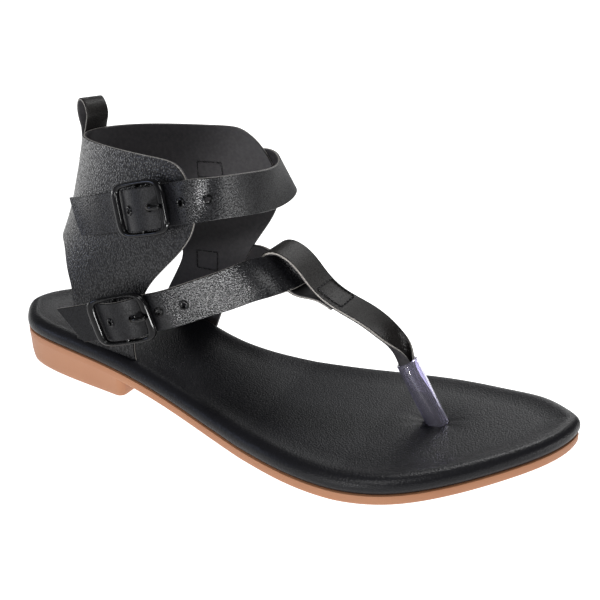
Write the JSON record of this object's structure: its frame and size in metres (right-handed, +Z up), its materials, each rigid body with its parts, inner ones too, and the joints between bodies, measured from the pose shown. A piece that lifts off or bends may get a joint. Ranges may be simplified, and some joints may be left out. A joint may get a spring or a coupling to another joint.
{
  "type": "ankle strap sandal",
  "caption": "Flat thong sandal with an open-heel ankle cuff, buckled ankle and instep straps, a toe strap in a clear post sleeve, a padded footbed and a low-heeled rubber sole.",
  "frame": {"origin": "middle of the sole's box on the floor", "axes": "+X from heel to toe, +Y to the inner (big toe) side, +Z up"},
  "size_m": [0.252, 0.0899, 0.1184],
  "materials": {
    "outsole": "matt moulded rubber",
    "footbed": "satin synthetic leather, fine grain",
    "upper": "pebbled grain, satin",
    "smooth_leather": "smooth, half matt",
    "sleeve": "clear, glossy",
    "hardware": "gloss black"
  },
  "bodies": {
    "root": {"outsole": "outsole", "footbed": "footbed", "upper": "upper", "toe_strap": "smooth_leather", "pull_loop": "smooth_leather", "toe_post_sleeve": "sleeve", "ankle_buckle_frame": "hardware", "ankle_buckle_prong": "hardware", "instep_buckle_frame": "hardware", "instep_buckle_prong": "hardware", "ankle_eyelet_1": "hardware", "ankle_eyelet_2": "hardware", "ankle_eyelet_3": "hardware", "ankle_eyelet_4": "hardware", "instep_eyelet_1": "hardware", "instep_eyelet_2": "hardware", "instep_eyelet_3": "hardware", "instep_eyelet_4": "hardware"}
  },
  "joints": []
}
